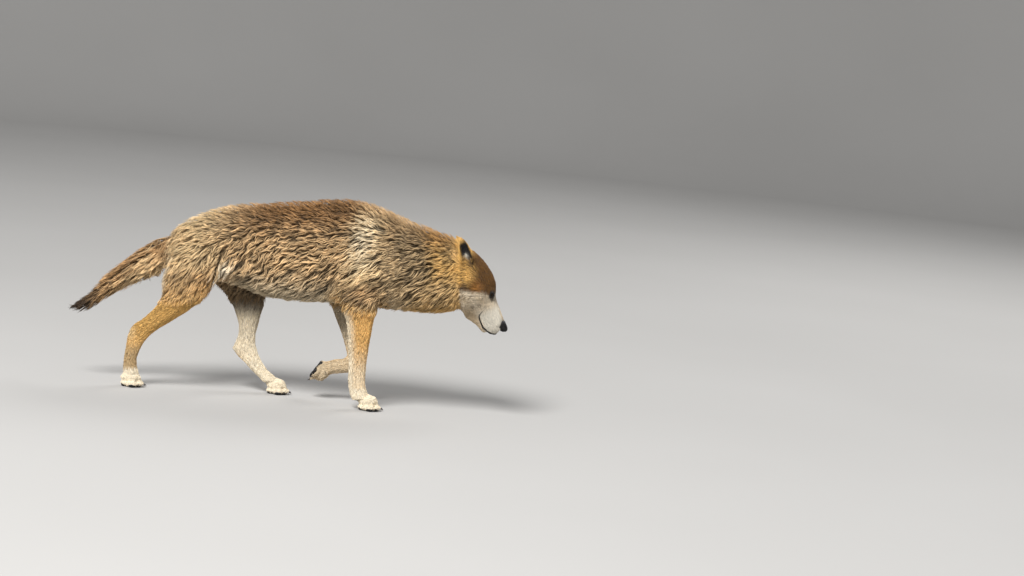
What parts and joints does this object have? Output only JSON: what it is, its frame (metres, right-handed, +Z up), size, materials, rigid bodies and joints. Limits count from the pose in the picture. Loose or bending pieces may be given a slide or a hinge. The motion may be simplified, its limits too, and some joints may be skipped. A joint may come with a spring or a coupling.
{
  "type": "wolf",
  "caption": "Life-size still model of a pale highland wolf walking with its head low, one forefoot lifted and its tail trailing.",
  "frame": {"origin": "middle of the floor beneath the wolf, at the level of the soles", "axes": "+X to the wolf's nose, +Y to its left side, +Z up"},
  "size_m": [1.4788, 0.2782, 0.7089],
  "materials": {
    "claw": "dark horn",
    "coat": "long crimped fur, warm brown along the back, tan and cream on the sides, matt",
    "ear": "short ear fur, dark inside with pale hairs",
    "eye": "amber iris, dark pupil, wet clear surface",
    "face": "short face fur, rusty brown forehead, pale grey cheeks and muzzle",
    "foot": "short cream fur",
    "leg": "short leg fur, orange tan above, cream below",
    "mane": "golden tan neck fur, matt",
    "nose": "bare moist black skin",
    "pad": "bare dark pads of the feet",
    "tail": "bushy tail fur, brown streaked with dark, near black at the tip"
  },
  "bodies": {
    "root": {"claw_fore_left_1": "claw", "claw_fore_left_2": "claw", "claw_fore_left_3": "claw", "claw_fore_left_4": "claw", "claw_fore_left_5": "claw", "claw_fore_right_1": "claw", "claw_fore_right_2": "claw", "claw_fore_right_3": "claw", "claw_fore_right_4": "claw", "claw_fore_right_5": "claw", "claw_hind_left_1": "claw", "claw_hind_left_2": "claw", "claw_hind_left_3": "claw", "claw_hind_left_4": "claw", "claw_hind_right_1": "claw", "claw_hind_right_2": "claw", "claw_hind_right_3": "claw", "claw_hind_right_4": "claw", "ear_left": "ear", "ear_right": "ear", "eye_left": "eye", "eye_right": "eye", "forearm_left": "leg", "forearm_right": "leg", "head": "face", "instep_fore_left": "foot", "instep_fore_right": "foot", "instep_hind_left": "foot", "instep_hind_right": "foot", "jaw": "face", "neck": "mane", "nose": "nose", "paw_fore_left": "foot", "paw_fore_right": "foot", "paw_hind_left": "foot", "paw_hind_right": "foot", "shank_left": "leg", "shank_right": "leg", "shoulder_left": "coat", "shoulder_right": "coat", "tail_middle": "tail", "tail_root": "tail", "tail_tip": "tail", "thigh_left": "coat", "thigh_right": "coat", "trunk": "coat"}
  },
  "joints": []
}
